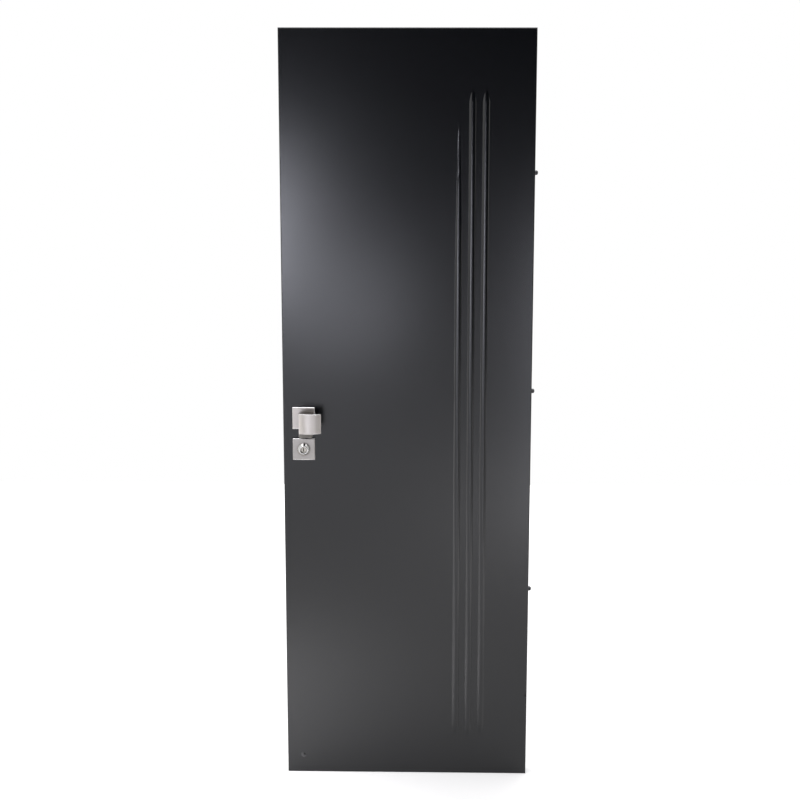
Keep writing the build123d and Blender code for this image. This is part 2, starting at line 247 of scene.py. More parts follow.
# %% Floor
ROOM_HALF = 7.0
FLOOR_BEHIND = 3.0
FLOOR_BEFORE = 9.5
PALE = (0.82, 0.82, 0.815, 1.0)
FLOOR_GLOW = 0.42
FLOOR_MIRRORED = 0.1
FLOOR_FADE = 0.9
FADE_START = 1.2
FADE_END = 3.2
SHEET_THICK = 1e-6


def to_mesh(bm, name):
    mesh = bpy.data.meshes.new(name)
    bm.to_mesh(mesh)
    bm.free()
    return mesh


def stage_panel(name, low, high, normal_axis, material):
    """A flat stage rectangle between two corners, made from one grid cell."""
    bm = bmesh.new()
    bmesh.ops.create_grid(bm, x_segments=1, y_segments=1, size=0.5)
    turn = Vector((0, 0, 1)).rotation_difference(Vector(normal_axis)).to_matrix()
    bmesh.ops.rotate(bm, verts=bm.verts, cent=(0, 0, 0), matrix=turn)
    low, high = Vector(low), Vector(high)
    size = [max(b - a, SHEET_THICK) for a, b in zip(low, high)]
    bmesh.ops.scale(bm, verts=bm.verts, vec=size)
    bmesh.ops.translate(bm, verts=bm.verts, vec=(low + high) / 2)
    panel = show(name, to_mesh(bm, name))
    panel.data.materials.append(material)
    return panel


def floor_finish():
    material = bpy.data.materials.new("studio_floor")
    material.use_nodes = True
    tree = material.node_tree
    tree.nodes.clear()
    matte = add(tree, "ShaderNodeBsdfDiffuse", {"Color": PALE})
    away = measure(tree, "LENGTH", add(tree, "ShaderNodeTexCoord").outputs["Object"])
    far = ramp(tree, away, FADE_START, FADE_END, 0.0, FLOOR_FADE)
    far = maths(tree, "MULTIPLY", far, add(tree, "ShaderNodeLightPath").outputs["Is Camera Ray"])
    strength = maths(tree, "ADD", far, FLOOR_GLOW)
    glow = add(tree, "ShaderNodeEmission", {"Color": WHITE, "Strength": strength})
    lit = add(tree, "ShaderNodeAddShader", {0: matte.outputs[0], 1: glow.outputs[0]})
    chosen = blend_shaders(tree, seen_rays(tree, FLOOR_MIRRORED), matte, lit)
    add(tree, "ShaderNodeOutputMaterial", {"Surface": chosen})
    return material


front_left = (-ROOM_HALF, -FLOOR_BEFORE, 0)
floor = stage_panel("floor", front_left, (ROOM_HALF, FLOOR_BEHIND, 0), (0, 0, 1), floor_finish())
print("floor", floor.dimensions[:2])

# %% [markdown]
# ## Black flags
#
# The paint is nearly black, so most of what shows on it is reflection. The dark end of the studio,
# behind the camera, keeps the top of the leaf dark. Two black flags stand for it, one behind the
# camera and one along the right. The camera can't see them, but paint and metal mirror them.

# %% Flags
FLAG_TALL = 7.0
FLAG_RIGHT = 3.4
FLAG_GAP = 1.2
FLAG_COLOUR = (0.01, 0.01, 0.01, 1.0)

flag_black = bpy.data.materials.new("flag_black")
flag_black.use_nodes = True
matte_black = {"Base Color": FLAG_COLOUR, "Roughness": 1.0}
set_inputs(flag_black.node_tree, flag_black.node_tree.nodes["Principled BSDF"], matte_black)
back_top = (ROOM_HALF, -FLOOR_BEFORE, FLAG_TALL)
right_foot = (FLAG_RIGHT, -FLOOR_BEFORE, 0)
right_top = (FLAG_RIGHT, -FLAG_GAP, FLAG_TALL)
flags = [
    stage_panel("flag_behind", front_left, back_top, (0, 1, 0), flag_black),
    stage_panel("flag_right", right_foot, right_top, (-1, 0, 0), flag_black),
]
for flag in flags:
    flag.visible_camera = False
print("flags", [flag.name for flag in flags])

# %% [markdown]
# ## Lamps
#
# One big lamp would give one flat sheen. The real leaf shows several: a bright one low on the left,
# a weaker one on the right edge, and light lines on both flanks of the ribs. So each gets a small
# soft lamp of its own. Lamps at the far left and right are mirrored in the flat paint and in the
# bowed grip, lamps at the sides light the flanks of the ribs, lamps over the floor make pools that
# the lower half mirrors, and a large one overhead throws the shadow.

# %% Lamps
COOL = (0.875, 0.89, 1.0)
NEUTRAL = (0.985, 0.97, 1.0)


def at_leaf(place):
    """The middle of the front face, from any place."""
    return -leaf_width / 2, face_y, leaf_height / 2


def at_floor(place):
    """Straight down."""
    return place[0], place[1], 0


def across(place):
    """Level, towards the plane of the hinge edge."""
    return 0, place[1], place[2]


def soft_lamp(name, place, aim, size, watts, colour):
    """A rectangular lamp of a width and a height, turned to the point its aim gives."""
    lamp = bpy.data.lights.new(name, "AREA")
    lamp.shape = "RECTANGLE"
    lamp.size, lamp.size_y = size
    lamp.energy = watts
    lamp.color = colour
    holder = show(name, lamp)
    holder.location = place
    sight = Vector(aim(place)) - Vector(place)
    holder.rotation_euler = sight.to_track_quat("-Z", "Y").to_euler()
    holder.visible_camera = False
    return holder


lamps = [
    soft_lamp("lamp_left", (-1.28, -4.4, 0.97), at_leaf, (0.42, 0.70), 11.4, COOL),
    soft_lamp("lamp_left_far", (-2.15, -4.4, 0.62), at_leaf, (0.9, 1.15), 11.5, COOL),
    soft_lamp("lamp_left_inner", (-0.72, -4.4, 0.58), at_leaf, (0.5, 0.5), 2.4, COOL),
    soft_lamp("lamp_right", (0.27, -2.4, 0.62), at_leaf, (0.2, 1.1), 1.3, COOL),
    soft_lamp("lamp_right_far", (0.50, -4.4, 0.66), at_leaf, (0.3, 1.0), 2.4, COOL),
    soft_lamp("lamp_floor", (-0.80, -0.65, 0.4), at_floor, (0.15, 1.1), 3.4, NEUTRAL),
    soft_lamp("lamp_floor_right", (0.38, -2.7, 0.5), at_floor, (0.3, 1.2), 7.0, NEUTRAL),
    soft_lamp("lamp_side_left", (-2.2, -0.5, 0.45), across, (0.9, 0.8), 2.4, NEUTRAL),
    soft_lamp("lamp_side_right", (1.8, -1.2, 0.54), across, (2.2, 0.2), 1.0, NEUTRAL),
    soft_lamp("lamp_pool_left", (-1.75, -1.1, 0.4), at_floor, (0.6, 1.0), 5.0, NEUTRAL),
    soft_lamp("lamp_pool_right", (1.35, -1.1, 0.4), at_floor, (0.6, 1.0), 5.0, NEUTRAL),
    soft_lamp("lamp_overhead", (-0.6, 0.8, 4.6), at_floor, (4.0, 4.0), 175.0, NEUTRAL),
]
print("lamps", [lamp.name for lamp in lamps])

# %% [markdown]
# ## Powder coat and handling
#
# Powder coat melts into a skin with a faint orange peel and fine flecks. Real bumps would need
# millions of faces, so two noises, one coarse and one fine, give a height for a Bump node instead.
# Handling leaves soft patches that are a little duller or brighter, which is one coarse noise.

# %% Powder coat and handling groups
PEEL_DENSITY = 420.0
PEEL_DETAIL = 2.0
FINE_PER_PEEL = 6.0
FINE_DETAIL = 1.0
FINE_HEIGHT = 0.25
FLECK_START = 0.55
FLECK_FULL = 0.8
PATCH_DENSITY = 5.0
PATCH_DETAIL = 3.0

coat_inputs = {"Vector": None, "Peel Density": PEEL_DENSITY}
coat_group, given, out = start_group("powder_coat", coat_inputs, ["Height", "Fleck"])
peel = noise(coat_group, given["Vector"], given["Peel Density"], PEEL_DETAIL)
fine_density = maths(coat_group, "MULTIPLY", given["Peel Density"], FINE_PER_PEEL)
fine = noise(coat_group, given["Vector"], fine_density, FINE_DETAIL)
height = maths(coat_group, "ADD", maths(coat_group, "MULTIPLY", fine, FINE_HEIGHT), peel)
fleck = ramp(coat_group, fine, FLECK_START, FLECK_FULL)
set_inputs(coat_group, out, {"Height": height, "Fleck": fleck})

hand_inputs = {"Vector": None, "Density": PATCH_DENSITY}
hand_group, given, out = start_group("handling", hand_inputs, ["Patch"])
patch = noise(hand_group, given["Vector"], given["Density"], PATCH_DETAIL)
set_inputs(hand_group, out, {"Patch": patch})
print("groups", coat_group.name, hand_group.name)

# %% [markdown]
# ## Worn edges and painted rim highlights
#
# Edges catch more wear than flat faces. They could be painted by hand, but a Bevel node finds them
# on any shape: it bends the normal near an edge, and the angle between that normal and the true
# one is a mask of the edges. A noise breaks the mask up. The same bent normal also makes a sharp
# edge look round, and where it leans up, down or far to a side it marks the rims, where the metals
# get a painted highlight.

# %% Worn edges and rim highlight group
EDGE_REACH = 1.2 * MM
EDGE_SAMPLES = 6
EDGE_START = 0.99
EDGE_FULL = 0.85
BREAK_DENSITY = 220.0
BREAK_DETAIL = 3.0
BREAK_START = 0.3
BREAK_FULL = 0.55
# How far the bent normal leans on a rim that gets a painted highlight.
RIM_HIGHLIGHT_UPRIGHT = (0.24, 0.53)
RIM_HIGHLIGHT_SIDEWAYS = (0.60, 0.80)

edge_inputs = {"Vector": None, "Reach": EDGE_REACH}
edge_group, given, out = start_group("worn_edges_and_rim_highlight", edge_inputs, ["Edge", "Rim Highlight", "Round Normal"])
bent = add(edge_group, "ShaderNodeBevel", {"Radius": given["Reach"]}, samples=EDGE_SAMPLES).outputs[0]
straight = add(edge_group, "ShaderNodeNewGeometry").outputs["Normal"]
alike = measure(edge_group, "DOT_PRODUCT", bent, straight)
leaning = ramp(edge_group, alike, EDGE_START, EDGE_FULL)
broken = noise(edge_group, given["Vector"], BREAK_DENSITY, BREAK_DETAIL)
broken = ramp(edge_group, broken, BREAK_START, BREAK_FULL)
facing = add(edge_group, "ShaderNodeSeparateXYZ", {0: bent}).outputs
upper = ramp(edge_group, maths(edge_group, "ABSOLUTE", facing["Z"]), *RIM_HIGHLIGHT_UPRIGHT)
outer = ramp(edge_group, maths(edge_group, "ABSOLUTE", facing["X"]), *RIM_HIGHLIGHT_SIDEWAYS)
masks = {
    "Edge": maths(edge_group, "MULTIPLY", leaning, broken),
    "Rim Highlight": maths(edge_group, "MAXIMUM", upper, outer),
    "Round Normal": bent,
}
set_inputs(edge_group, out, masks)
print("group", edge_group.name)

# %% [markdown]
# ## Painted shade in corners
#
# Corners, and faces close under other parts, are darkened by a painted shade. An Ambient Occlusion
# node measures how close other faces are, so it needs no painting either, and a noise makes the
# painted shade uneven.

# %% Painted corner shade group
CORNER_REACH = 30 * MM
CORNER_SAMPLES = 8
SHADE_DENSITY = 60.0
SHADE_DETAIL = 2.0
SHADE_LEAST = 0.7
SHADE_MOST = 1.3

# The darkening below is a painted shade: ambient occlusion darkens the colour in corners and under
# parts.
corner_shade_inputs = {"Vector": None, "Reach": CORNER_REACH}
corner_shade_group, given, out = start_group("painted_corner_shade", corner_shade_inputs, ["Painted Shade"])
reach = {"Distance": given["Reach"]}
opened = add(corner_shade_group, "ShaderNodeAmbientOcclusion", reach, samples=CORNER_SAMPLES).outputs["AO"]
closed = maths(corner_shade_group, "SUBTRACT", 1.0, opened)
uneven = noise(corner_shade_group, given["Vector"], SHADE_DENSITY, SHADE_DETAIL)
uneven = spread(corner_shade_group, uneven, SHADE_LEAST, SHADE_MOST)
set_inputs(corner_shade_group, out, {"Painted Shade": maths(corner_shade_group, "MULTIPLY", closed, uneven, clamp=True)})
print("group", corner_shade_group.name)

# %% [markdown]
# ## Starting a finish
#
# Every finish starts from the same three things: the Principled shader, the values that stay the
# same all over, and Object coordinates, which hold still when a piece turns with its body.

# %% Finish helpers
def start_finish(name, **fixed):
    """A material with its Principled shader, its fixed values and its Object coordinates."""
    material = bpy.data.materials.new(name)
    material.use_nodes = True
    tree = material.node_tree
    shader = tree.nodes["Principled BSDF"]
    set_inputs(tree, shader, fixed)
    where = add(tree, "ShaderNodeTexCoord").outputs["Object"]
    return material, tree, shader, where


def bump(tree, height, distance, strength, normal):
    inputs = {"Height": height, "Distance": distance, "Strength": strength, "Normal": normal}
    return add(tree, "ShaderNodeBump", inputs).outputs[0]


print("finish helpers ready")

# %% [markdown]
# ## Two knocks in the paint
#
# The front has been knocked twice: near the foot, where a rubbed crescent lies beside a chip, and
# on the hinge edge. An image could show the marks, but the distance from a place is enough: one
# ball round each chip, and a larger ball less a smaller one for the crescent.

# %% Chips and scuff
FOOT_CHIP = (-614 * MM, face_y, 53 * MM)
EDGE_CHIP = (-4.5 * MM, face_y, 231 * MM)
CHIP_RADII = (4 * MM, 2 * MM)
SCUFF = (-616.5 * MM, face_y, 51 * MM)
SCUFF_RADII = (9 * MM, 5 * MM)
SPARED_RADII = (6 * MM, 3 * MM)
RUBBED = 0.9


def near(tree, where, place, radii):
    """One inside a small ball round a place, fading to nothing at the outer of its two radii."""
    return ramp(tree, measure(tree, "DISTANCE", where, place), *radii)


def chips(tree, where):
    knocks = [near(tree, where, place, CHIP_RADII) for place in (FOOT_CHIP, EDGE_CHIP)]
    return maths(tree, "MAXIMUM", *knocks)


def scuff(tree, where):
    disc = near(tree, where, SCUFF, SCUFF_RADII)
    spared = near(tree, where, FOOT_CHIP, SPARED_RADII)
    crescent = maths(tree, "SUBTRACT", disc, spared, clamp=True)
    return maths(tree, "MULTIPLY", crescent, RUBBED)


print("marks near the foot at z", FOOT_CHIP[2], "and on the edge at z", EDGE_CHIP[2])

# %% [markdown]
# ## The leaf's paint
#
# The skins are powder coated in a charcoal that is nearly black, with a satin gloss. A plain dark
# colour would look like plastic, so the coat gets its peel, its flecks, duller and brighter
# patches, paler edges and its marks. A chip has lost its gloss and shows dark. The edge profile is
# coated in the same powder, a little flatter.

# %% Paint finishes
CHARCOAL = (0.0014, 0.0019, 0.0032, 1.0)
CHARCOAL_FLECK = (0.005, 0.0055, 0.0075, 1.0)
WORN_PAINT = (0.05, 0.05, 0.053, 1.0)
PAINT_IOR = 1.65
PAINT_PATCHES = 3.0
PAINT_WEAR = 0.35
FLECK_SHARE = 0.5
GLOSS = 0.5
CHIPPED_GLOSS = 0.22
PEEL_STRENGTH = 0.25


def paint(name, dull_low, dull_high, peel_height):
    material, tree, shader, where = start_finish(name, IOR=PAINT_IOR)
    coat = place_group(tree, coat_group, {"Vector": where})
    hand = place_group(tree, hand_group, {"Vector": where, "Density": PAINT_PATCHES})
    edge = place_group(tree, edge_group, {"Vector": where, "Reach": EDGE_REACH})
    flecks = maths(tree, "MULTIPLY", coat["Fleck"], FLECK_SHARE)
    colour = mix_colour(tree, flecks, CHARCOAL, CHARCOAL_FLECK)
    worn = maths(tree, "MULTIPLY", edge["Edge"], PAINT_WEAR)
    worn = maths(tree, "MAXIMUM", worn, scuff(tree, where))
    varying = {
        "Base Color": mix_colour(tree, worn, colour, WORN_PAINT),
        "Specular IOR Level": spread(tree, chips(tree, where), GLOSS, CHIPPED_GLOSS),
        "Roughness": spread(tree, hand["Patch"], dull_low, dull_high),
        "Normal": bump(tree, coat["Height"], peel_height, PEEL_STRENGTH, edge["Round Normal"]),
    }
    set_inputs(tree, shader, varying)
    return material


finishes = {
    "door_paint": paint("door_paint", dull_low=0.185, dull_high=0.215, peel_height=0.06 * MM),
    "edge_profile": paint("edge_paint", dull_low=0.40, dull_high=0.50, peel_height=0.08 * MM),
}
print("paints", list(finishes))

# %% [markdown]
# ## Brushed and turned metal
#
# The furniture is satin nickel on steel: brushed, so its highlights are drawn out along the brush
# lines. A scratch texture could show them, but a noise that is stretched along the brushing gives
# the same lines at any size. On turned pieces the lines run round the axis, so there the noise is
# fine along the axis and coarse across it. Worn edges are mixed towards white as polish, rims get a
# painted highlight the same way, and corners get a painted shade.

# %% A brushed metal
LINES_DETAIL = 3.0
TONE_START = 0.3
TONE_FULL = 0.7
METAL_PATCHES = 30.0
EDGE_POLISH = 0.5
# The colour that corners are darkened towards, a painted shade.
PAINTED_SHADE = (0.06, 0.055, 0.05, 1.0)
BRUSH_DEPTH = 0.02 * MM
BRUSH_STRENGTH = 0.3

brush_group, given, out = start_group("brushed_lines", {"Vector": None}, ["Height", "Tone"])
lines = noise(brush_group, given["Vector"], 1.0, LINES_DETAIL)
tone = ramp(brush_group, lines, TONE_START, TONE_FULL)
set_inputs(brush_group, out, {"Height": lines, "Tone": tone})


def brushed_metal(name, light, dark, roughness, line_scale, wear=0.2, shade_share=0.3, rim=0.0):
    """Metal with brush lines: line_scale stretches the noise along the brushing."""
    material, tree, shader, where = start_finish(name, Metallic=1.0)
    along = add(tree, "ShaderNodeMapping", {"Vector": where, "Scale": line_scale}).outputs[0]
    line = place_group(tree, brush_group, {"Vector": along})
    hand = place_group(tree, hand_group, {"Vector": where, "Density": METAL_PATCHES})
    edge = place_group(tree, edge_group, {"Vector": where, "Reach": EDGE_REACH})
    corner = place_group(tree, corner_shade_group, {"Vector": where, "Reach": CORNER_REACH})
    toned = mix_colour(tree, line["Tone"], dark, light)
    # Corners are mixed towards a painted shade colour.
    toned = mix_colour(tree, maths(tree, "MULTIPLY", corner["Painted Shade"], shade_share), toned, PAINTED_SHADE)
    # Worn edges are mixed towards white as polish; rims are mixed towards white as a painted
    # highlight.
    polish_and_highlight = maths(tree, "MULTIPLY", edge["Edge"], wear)
    polish_and_highlight = maths(tree, "MAXIMUM", polish_and_highlight, maths(tree, "MULTIPLY", edge["Rim Highlight"], rim))
    rough = spread(tree, hand["Patch"], *roughness)
    varying = {
        "Base Color": mix_colour(tree, polish_and_highlight, toned, WHITE),
        "Roughness": maths(tree, "MULTIPLY", rough, spread(tree, polish_and_highlight, 1.0, EDGE_POLISH)),
        "Normal": bump(tree, line["Height"], BRUSH_DEPTH, BRUSH_STRENGTH, edge["Round Normal"]),
    }
    set_inputs(tree, shader, varying)
    return material


print("group", brush_group.name)

# %% [markdown]
# ## The metals of the leaf
#
# Each metal has a light and a dark tone for its brush lines, a range of roughness, and the
# direction of its lines. The neck of the knob and the plates of the key cylinder get finishes of
# their own: a darker copy of the satin steel, which is a painted shade, a little smoother as steel
# that is handled most, and with more painted shade in their corners.

# %% Metals
ALONG_X = (60.0, 4000.0, 4000.0)
ALONG_Z = (4000.0, 4000.0, 60.0)
ROUND_X = (4000.0, 60.0, 60.0)
ROUND_Y = (60.0, 4000.0, 60.0)
SATIN = ((0.66, 0.62, 0.585, 1), (0.54, 0.51, 0.48, 1), (0.36, 0.44), ALONG_X)
# The next tones are a darker copy of the satin ones, a painted shade; the lower roughness is handling
# polish.
HANDLED_SHADED = ((0.46, 0.435, 0.41, 1), (0.37, 0.35, 0.33, 1), (0.30, 0.38), ALONG_X)
PLAIN_METALS = {
    "lock_steel": ((0.58, 0.58, 0.57, 1), (0.44, 0.44, 0.44, 1), (0.28, 0.40), ALONG_Z),
    "polished_steel": ((0.74, 0.73, 0.71, 1), (0.66, 0.65, 0.63, 1), (0.14, 0.22), ROUND_Y),
    "plated_brass": ((0.64, 0.61, 0.55, 1), (0.52, 0.49, 0.43, 1), (0.22, 0.32), ROUND_Y),
    "zinc_steel": ((0.46, 0.47, 0.47, 1), (0.33, 0.34, 0.35, 1), (0.40, 0.55), ALONG_Z),
    "dark_steel": ((0.11, 0.11, 0.115, 1), (0.07, 0.07, 0.075, 1), (0.36, 0.46), ROUND_X),
}

for name, look in PLAIN_METALS.items():
    finishes[name] = brushed_metal(name, *look)
# Satin steel and the cylinder plate get a painted highlight on their rims.
finishes["satin_steel"] = brushed_metal("satin_steel", *SATIN, wear=0.8, shade_share=0.35, rim=0.8)
# Darker copies of the satin steel, a painted shade, with more painted shade in corners.
handled_shaded_plate = brushed_metal("handled_shaded_plate", *HANDLED_SHADED, wear=0.8, shade_share=0.8, rim=0.8)
handled_shaded_neck = brushed_metal("handled_shaded_neck", *HANDLED_SHADED, wear=0.5, shade_share=0.9)
print("finishes", list(finishes))

# %% [markdown]
# ## Finishes onto the CAD nodes
#
# Each CAD node names a material slot in the record, and each slot has one finish. The neck of the
# knob and the inside plate of the key cylinder then change to the darker copy of the steel, a
# painted shade that is also smoother as steel that is handled most.

# %% Dress the nodes
for subpart in frame["record"]["subparts"]:
    node = nodes[subpart["node"]]
    node.data.materials.clear()
    node.data.materials.append(finishes[subpart["material_slot"]])
# The neck and the inside cylinder plate take the darker copy of the steel, a painted shade.
nodes["knob_neck"].data.materials[0] = handled_shaded_neck
nodes["inner_cylinder_rosette"].data.materials[0] = handled_shaded_plate

# %% [markdown]
# ## Shaping helpers
#
# A small piece is shaped about the origin by operators and then set in its place on the leaf. A
# turned piece is a half section spun round the Z axis. Edges are rounded over with a bevel, and a
# face is pulled out or pushed in by an extrusion.

# %% Shape and set in
TURNED_STEPS = 96


def set_in(bm, shape, place, direction, *sizes):
    """Adds a shape made about the origin, turns its +Z towards a direction and moves it."""
    known = set(bm.verts)
    shape(bm, *sizes)
    made = [vert for vert in bm.verts if vert not in known]
    turn = Vector((0, 0, 1)).rotation_difference(Vector(direction)).to_matrix()
    bmesh.ops.rotate(bm, verts=made, cent=(0, 0, 0), matrix=turn)
    bmesh.ops.translate(bm, verts=made, vec=Vector(place))


def round_over(bm, edges, size, segments):
    bmesh.ops.bevel(
        bm, geom=edges, offset=size, segments=segments, profile=0.5, affect="EDGES", material=-1
    )


def pull(bm, face, vec):
    """Extrudes one face along a vector and returns its new end."""
    drawn = bmesh.ops.extrude_face_region(bm, geom=[face])["geom"]
    end = next(item for item in drawn if isinstance(item, bmesh.types.BMFace))
    bmesh.ops.translate(bm, verts=end.verts, vec=vec)
    return end


def turned(bm, section, steps=TURNED_STEPS):
    """Spins a closed half section of (radius, height) corners round the Z axis."""
    corners = [bm.verts.new((radius, 0, height)) for radius, height in section]
    loop = [bm.edges.new(pair) for pair in zip(corners, corners[1:] + corners[:1])]
    bmesh.ops.spin(
        bm, geom=corners + loop, cent=(0, 0, 0), axis=(0, 0, 1),
        angle=2 * math.pi, steps=steps, use_merge=True,
    )


print("shaping helpers ready")

# %% [markdown]
# ## Finishing a piece
#
# A finished shape becomes an object that rides on a body of the frame, so it moves when that body
# moves. Faces are shaded smooth, but edges past a limit stay sharp.

# %% Finish a piece
SMOOTH_UP_TO = math.radians(35)


def finish_piece(bm, name, body, slot, stands_for=None, finish=None):
    """Makes a bmesh a piece that rides on a body and takes the finish of a slot, or its own."""
    bmesh.ops.recalc_face_normals(bm, faces=bm.faces)
    for face in bm.faces:
        face.smooth = True
    mesh = to_mesh(bm, name)
    mesh.set_sharp_from_angle(angle=SMOOTH_UP_TO)
    mesh.materials.append(finish or finishes[slot])
    piece = show(name, mesh)
    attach(piece, body)
    if stands_for:
        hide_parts(stands_for)
    print(name, len(mesh.polygons), "faces on", body)
    return piece


print("pieces stay smooth up to", round(math.degrees(SMOOTH_UP_TO)), "degrees")

# %% [markdown]
# ## The grip
#
# The knob's bowed grip catches the strongest highlight, so its edges have to be round. It could be
# a bent plate with a bevel modifier, but a rectangle spun about the axis of its bow gives even
# faces. It stands for the CAD node of the same size, whose edges are only chamfered. A support loop
# just inside each long edge keeps its smooth shading from bleeding into the flat beside it.

# %% Grip
GRIP_BOW = 50.58 * MM
GRIP_HALF_TURN = math.radians(34.71)
GRIP_THICK = 5 * MM
GRIP_EDGE = 1.6 * MM
GRIP_STEPS = 36
GRIP_SEGMENTS = 4
SUPPORT = 0.3 * MM
SHARP = math.radians(60)

grip_low, grip_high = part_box("knob_grip")
bow_axis = Vector(((grip_low.x + grip_high.x) / 2, grip_low.y + GRIP_BOW + GRIP_THICK / 2, 0))
nearest, farthest = -GRIP_BOW - GRIP_THICK / 2, -GRIP_BOW + GRIP_THICK / 2
inner_low, inner_high = grip_low.z + GRIP_EDGE + SUPPORT, grip_high.z - GRIP_EDGE - SUPPORT
rising = [grip_low.z, inner_low, inner_high, grip_high.z]
ends = [(farthest, z) for z in rising] + [(nearest, z) for z in reversed(rising)]

bm = bmesh.new()
section = bm.faces.new([bm.verts.new(bow_axis + Vector((0, y, z))) for y, z in ends])
start = Matrix.Rotation(-GRIP_HALF_TURN, 3, "Z")
bmesh.ops.rotate(bm, verts=bm.verts, cent=bow_axis, matrix=start)
swept = [section, *section.edges, *section.verts]
bmesh.ops.spin(
    bm, geom=swept, cent=bow_axis, axis=(0, 0, 1), angle=2 * GRIP_HALF_TURN, steps=GRIP_STEPS
)
sharp = [edge for edge in bm.edges if edge.is_manifold and edge.calc_face_angle() > SHARP]
round_over(bm, sharp, GRIP_EDGE, GRIP_SEGMENTS)
finish_piece(bm, "bowed_grip", "leaf", "satin_steel", "knob_grip")

# %% [markdown]
# ## The guard
#
# The guard is a turned collar that keeps tools away from the key cylinder. On a lathe it is one
# section turned round its axis, and here it is the same section spun. It stands for the CAD node
# of the same size, whose edges are plain. Here the front edges are rounded over, to catch light.

# %% Guard
GUARD_WALL = 2.0 * MM
GUARD_RIM = 11.4 * MM
GUARD_BORE = 8.8 * MM
GUARD_EDGE = 0.8 * MM
GUARD_SEGMENTS = 3
GUARD_SHARP = math.radians(25)

guard_radius, guard_height = (guard_high.x - guard_low.x) / 2, guard_high.y - guard_low.y
guard_section = [
    (GUARD_BORE, 0),
    (guard_radius, 0),
    (guard_radius, GUARD_WALL),
    (GUARD_RIM, guard_height),
    (GUARD_BORE, guard_height),
]
guard_seat = (cylinder_axis.x, guard_high.y, cylinder_axis.z)

bm = bmesh.new()
set_in(bm, turned, guard_seat, (0, -1, 0), guard_section)
front_edges = [
    edge for edge in bm.edges
    if edge.is_manifold and edge.calc_face_angle() > GUARD_SHARP
    and all(vert.co.y < guard_high.y - GUARD_WALL / 2 for vert in edge.verts)
]
round_over(bm, front_edges, GUARD_EDGE, GUARD_SEGMENTS)
finish_piece(bm, "turned_guard", "leaf", "polished_steel", "cylinder_guard")

# %% [markdown]
# ## Rosettes
#
# A rosette is a pressed square plate whose rim is drawn over in a soft curve, and that curve is
# what shows as a bright line. A cube with a cut hole would need a boolean, so it starts as a flat
# ring, spun from a rectangle. The outer corners of the ring are then pushed out onto a square, and
# the rim is rounded over.

# %% Rosettes
ROSETTE_RIM = 3.0 * MM
ROSETTE_HOLE = 8.8 * MM
ROSETTE_STEPS = 48
ROSETTE_SEGMENTS = 5


def rosette(bm, half, thick):
    flat = half - ROSETTE_RIM - SUPPORT
    section = [(ROSETTE_HOLE, 0), (half, 0), (half, thick), (flat, thick), (ROSETTE_HOLE, thick)]
    turned(bm, section, ROSETTE_STEPS)
    outer = {vert for vert in bm.verts if vert.co.xy.length > half / 2}
    for vert in outer:
        vert.co.xy *= vert.co.xy.length / max(abs(vert.co.x), abs(vert.co.y))
    rim = [
        edge for edge in bm.edges
        if outer.issuperset(edge.verts) and edge.calc_face_angle() > SHARP
        and any(vert.co.z > thick / 2 for vert in edge.verts)
    ]
    round_over(bm, rim, ROSETTE_RIM, ROSETTE_SEGMENTS)


# The cylinder's rosette takes the darker copy of the steel, a painted shade.
plates = {"knob_rosette": finishes["satin_steel"], "cylinder_rosette": handled_shaded_plate}
for node, finish in plates.items():
    low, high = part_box(node)
    seat = ((low.x + high.x) / 2, high.y, (low.z + high.z) / 2)
    bm = bmesh.new()
    set_in(bm, rosette, seat, (0, -1, 0), (high.x - low.x) / 2, high.y - low.y)
    finish_piece(bm, "rounded_" + node, "leaf", "satin_steel", node, finish)

# %% [markdown]
# ## Socket screws
#
# A socket screw is a round head with a six-sided recess. Cutting a hexagon out of a disc would
# need a boolean, so a disc is raised and inset twice, the inner ring is drawn in to a hexagon, and
# the face inside it is sunk. Sizes are shares of the head's radius, so one shape serves all, and
# the socket's depth is a share of what is sunk in the seat.

# %% A socket screw
HEAD_SIDES = 24
HEAD_SUNK = 0.4
HEAD_RIM = 0.15
SOCKET_RIM = 0.30
SOCKET_DEPTH = 0.8
SIXTH_TURN = math.pi / 3


def socket_screw(bm, radius, rise):
    """A round screw head with a hexagon socket, sunk in its seat and standing out by its rise."""
    sunk = HEAD_SUNK * radius
    disc = bmesh.ops.create_circle(bm, cap_ends=True, segments=HEAD_SIDES, radius=radius)["verts"]
    bmesh.ops.translate(bm, verts=disc, vec=(0, 0, -sunk))
    top = pull(bm, disc[0].link_faces[0], (0, 0, sunk + rise))
    bmesh.ops.inset_region(bm, faces=[top], thickness=HEAD_RIM * radius)
    bmesh.ops.inset_region(bm, faces=[top], thickness=SOCKET_RIM * radius)
    for vert in top.verts:
        from_flat = math.atan2(vert.co.y, vert.co.x) % SIXTH_TURN - SIXTH_TURN / 2
        vert.co.xy *= math.cos(SIXTH_TURN / 2) / math.cos(from_flat)
    pull(bm, top, (0, 0, -SOCKET_DEPTH * sunk))


print("a screw head has", HEAD_SIDES, "sides")

# %% [markdown]
# ## Screws on the leaf
#
# The faceplate is held by two screws near its ends, and a third one between the dead bolts holds
# the key cylinder. Each rosette is pinned by a small grub screw from below, and so is the lever.

# %% Screws
PLATE_SCREW = 3.6 * MM
CYLINDER_SCREW = 2.6 * MM
GRUB = 1.9 * MM
SCREW_RISE = 0.2 * MM
SCREW_FROM_END = 14 * MM
CYLINDER_SCREW_DROP = 17 * MM
LEVER_GRUB_FROM_SEAT = 7 * MM

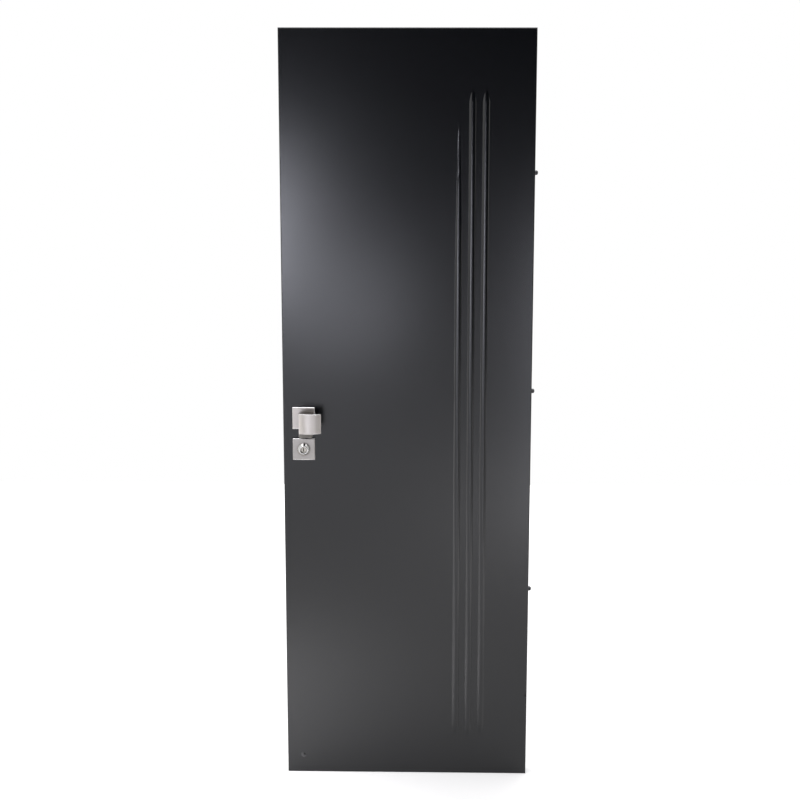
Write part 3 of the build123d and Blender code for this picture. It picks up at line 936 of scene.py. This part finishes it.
plate_low, plate_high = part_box("lock_faceplate")
plate_screws = [
    (plate_high.z - SCREW_FROM_END, PLATE_SCREW),
    (plate_low.z + SCREW_FROM_END, PLATE_SCREW),
    (cylinder_axis.z - CYLINDER_SCREW_DROP, CYLINDER_SCREW),
]
bm = bmesh.new()
for z, radius in plate_screws:
    set_in(bm, socket_screw, (plate_low.x, 0, z), (-1, 0, 0), radius, SCREW_RISE)
finish_piece(bm, "faceplate_screws", "leaf", "zinc_steel")

lever_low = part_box("inner_lever")[0]
grub_places = []
for node in ("knob_rosette", "cylinder_rosette", "inner_lever_rosette", "inner_cylinder_rosette"):
    low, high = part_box(node)
    grub_places.append(((low.x + high.x) / 2, (low.y + high.y) / 2, low.z))
grub_places.append((knob_axis.x, lever_low.y + LEVER_GRUB_FROM_SEAT, lever_low.z))
bm = bmesh.new()
for place in grub_places:
    set_in(bm, socket_screw, place, (0, 0, -1), GRUB, SCREW_RISE)
finish_piece(bm, "grub_screws", "leaf", "dark_steel")

# %% [markdown]
# ## Wards in the keyways
#
# A keyway isn't a plain slot: two wards on its walls let only one shape of key in. Each ward is a
# long rounded bar along the wall. The outer pair rides on the plug, so it turns with the key.

# %% Wards
WARD_WIDTH = 0.75 * MM
WARD_LENGTH = 22.5 * MM
WARD_HEIGHT = 1.2 * MM
WARD_EDGE = 0.15 * MM
WARD_SEGMENTS = 2
WARD_PLACES = ((-0.85 * MM, 1.5 * MM), (0.85 * MM, -1.7 * MM))
WARD_START = 0.4 * MM


def ward(bm):
    cube = bmesh.ops.create_cube(bm, size=1.0)["verts"]
    bmesh.ops.scale(bm, verts=cube, vec=(WARD_WIDTH, WARD_HEIGHT, WARD_LENGTH))
    bmesh.ops.translate(bm, verts=cube, vec=(0, 0, WARD_LENGTH / 2))
    cube_edges = {edge for vert in cube for edge in vert.link_edges}
    round_over(bm, list(cube_edges), WARD_EDGE, WARD_SEGMENTS)


def wards(name, plug_y, inward, body):
    """Two wards that run inward from the face of a key plug, on opposite walls of its keyway."""
    bm = bmesh.new()
    start_y = plug_y + inward * WARD_START
    for side, height in WARD_PLACES:
        place = (cylinder_axis.x + side, start_y, cylinder_axis.z + height)
        set_in(bm, ward, place, (0, inward, 0))
    finish_piece(bm, name, body, "plated_brass")


wards("keyway_wards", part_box("key_plug")[0].y, 1, "plug")
wards("inner_keyway_wards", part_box("inner_plug")[1].y, -1, "leaf")

# %% [markdown]
# ## Threads in the hinge plates
#
# The plates behind the hinge screw holes are tapped. A bump could hint at the thread, but the holes
# are open to the eye, so each thread is a small ridge spun up along a helix.

# %% Threads
THREAD_PITCH = 1.25 * MM
THREAD_RIDGE = 0.35 * MM
THREAD_ROOT = 0.1 * MM
THREAD_STEPS = 24
SCREW_HOLE = 4.25 * MM
SCREW_HALF_PITCH = 30 * MM


def thread(bm, length):
    """A ridge on the wall of a hole, rooted in the wall and wound up along +Z."""
    turns = int(length / THREAD_PITCH)
    wall, crest = SCREW_HOLE + THREAD_ROOT, SCREW_HOLE - THREAD_RIDGE
    corners = [(wall, 0, 0), (wall, 0, 2 * THREAD_RIDGE), (crest, 0, THREAD_RIDGE)]
    ridge = bm.faces.new([bm.verts.new(corner) for corner in corners])
    bmesh.ops.spin(
        bm, geom=[ridge, *ridge.edges, *ridge.verts], cent=(0, 0, 0), axis=(0, 0, 1),
        dvec=(0, 0, THREAD_PITCH / THREAD_STEPS),
        angle=2 * math.pi * turns, steps=THREAD_STEPS * turns,
    )


bm = bmesh.new()
for place in ("upper", "middle", "lower"):
    low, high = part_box("hinge_plate_" + place)
    for z in (-SCREW_HALF_PITCH, SCREW_HALF_PITCH):
        hole = (low.x, 0, (low.z + high.z) / 2 + z)
        set_in(bm, thread, hole, (1, 0, 0), high.x - low.x)
finish_piece(bm, "hinge_threads", "leaf", "zinc_steel")

# %% [markdown]
# ## The end
#
# The dressing ends here.

# %% Finish
print("dressing finished")
